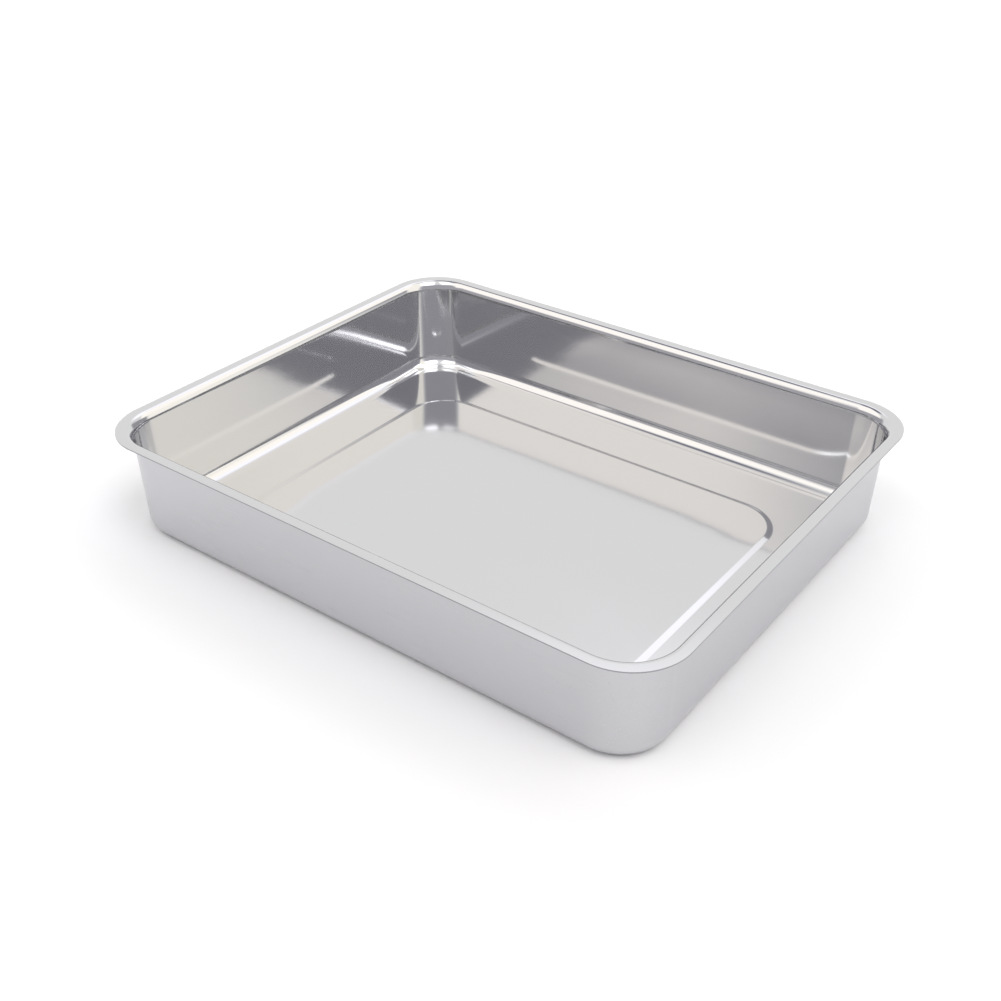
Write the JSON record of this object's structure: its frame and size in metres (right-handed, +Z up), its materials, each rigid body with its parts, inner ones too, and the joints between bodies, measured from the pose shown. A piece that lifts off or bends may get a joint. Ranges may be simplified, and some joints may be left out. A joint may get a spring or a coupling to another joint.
{
  "type": "developing tray",
  "caption": "Shallow rectangular darkroom tray deep-drawn from one stainless sheet, with tapered walls, rounded corners and a narrow rolled lip.",
  "frame": {"origin": "middle of the base, on the surface that the tray stands on", "axes": "+X along the tray's longer side, +Y along its shorter side, +Z up out of the open top"},
  "size_m": [0.3, 0.244, 0.0515],
  "materials": {
    "polished_steel": "bright polished inside, satin outside"
  },
  "bodies": {
    "root": {"tray_pan": "polished_steel"}
  },
  "joints": []
}
